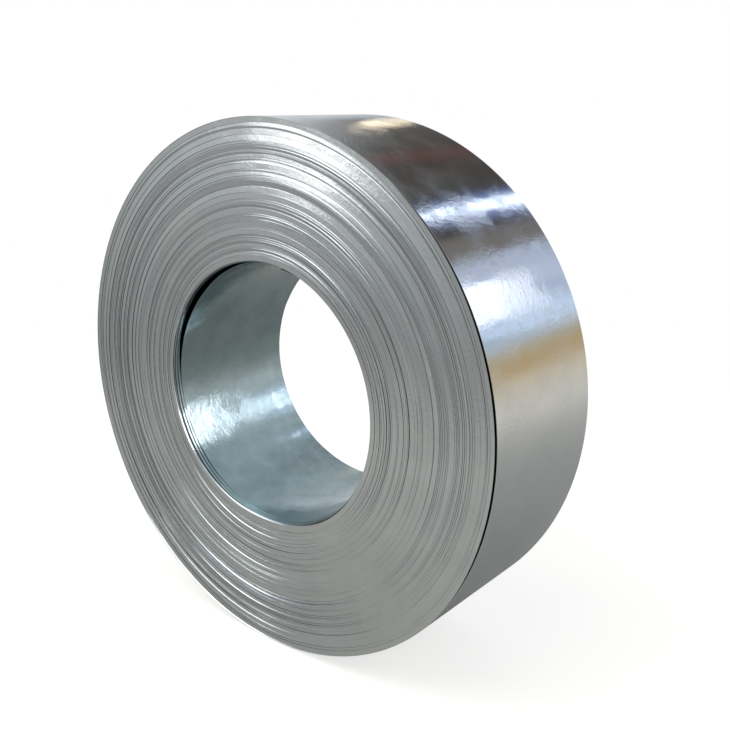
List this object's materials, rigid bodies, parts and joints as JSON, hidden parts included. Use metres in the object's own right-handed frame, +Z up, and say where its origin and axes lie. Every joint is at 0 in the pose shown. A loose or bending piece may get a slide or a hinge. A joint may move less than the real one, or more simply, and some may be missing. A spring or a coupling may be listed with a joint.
{
  "type": "aluminium strip coil",
  "caption": "Bright slit coil of thin aluminium strip standing on its rim, with stepped turn edges, loose inner turns and an open mandrel bore.",
  "frame": {"origin": "on the floor, under the middle of the coil", "axes": "+Z up, Y along the winding axis with the front end facing -Y, X across the coil"},
  "size_m": [1.0099, 0.305, 1.01],
  "materials": {
    "strip": "bright mill-rolled strip faces, satin slit edges"
  },
  "bodies": {
    "root": {"wound_strip": "strip"}
  },
  "joints": []
}
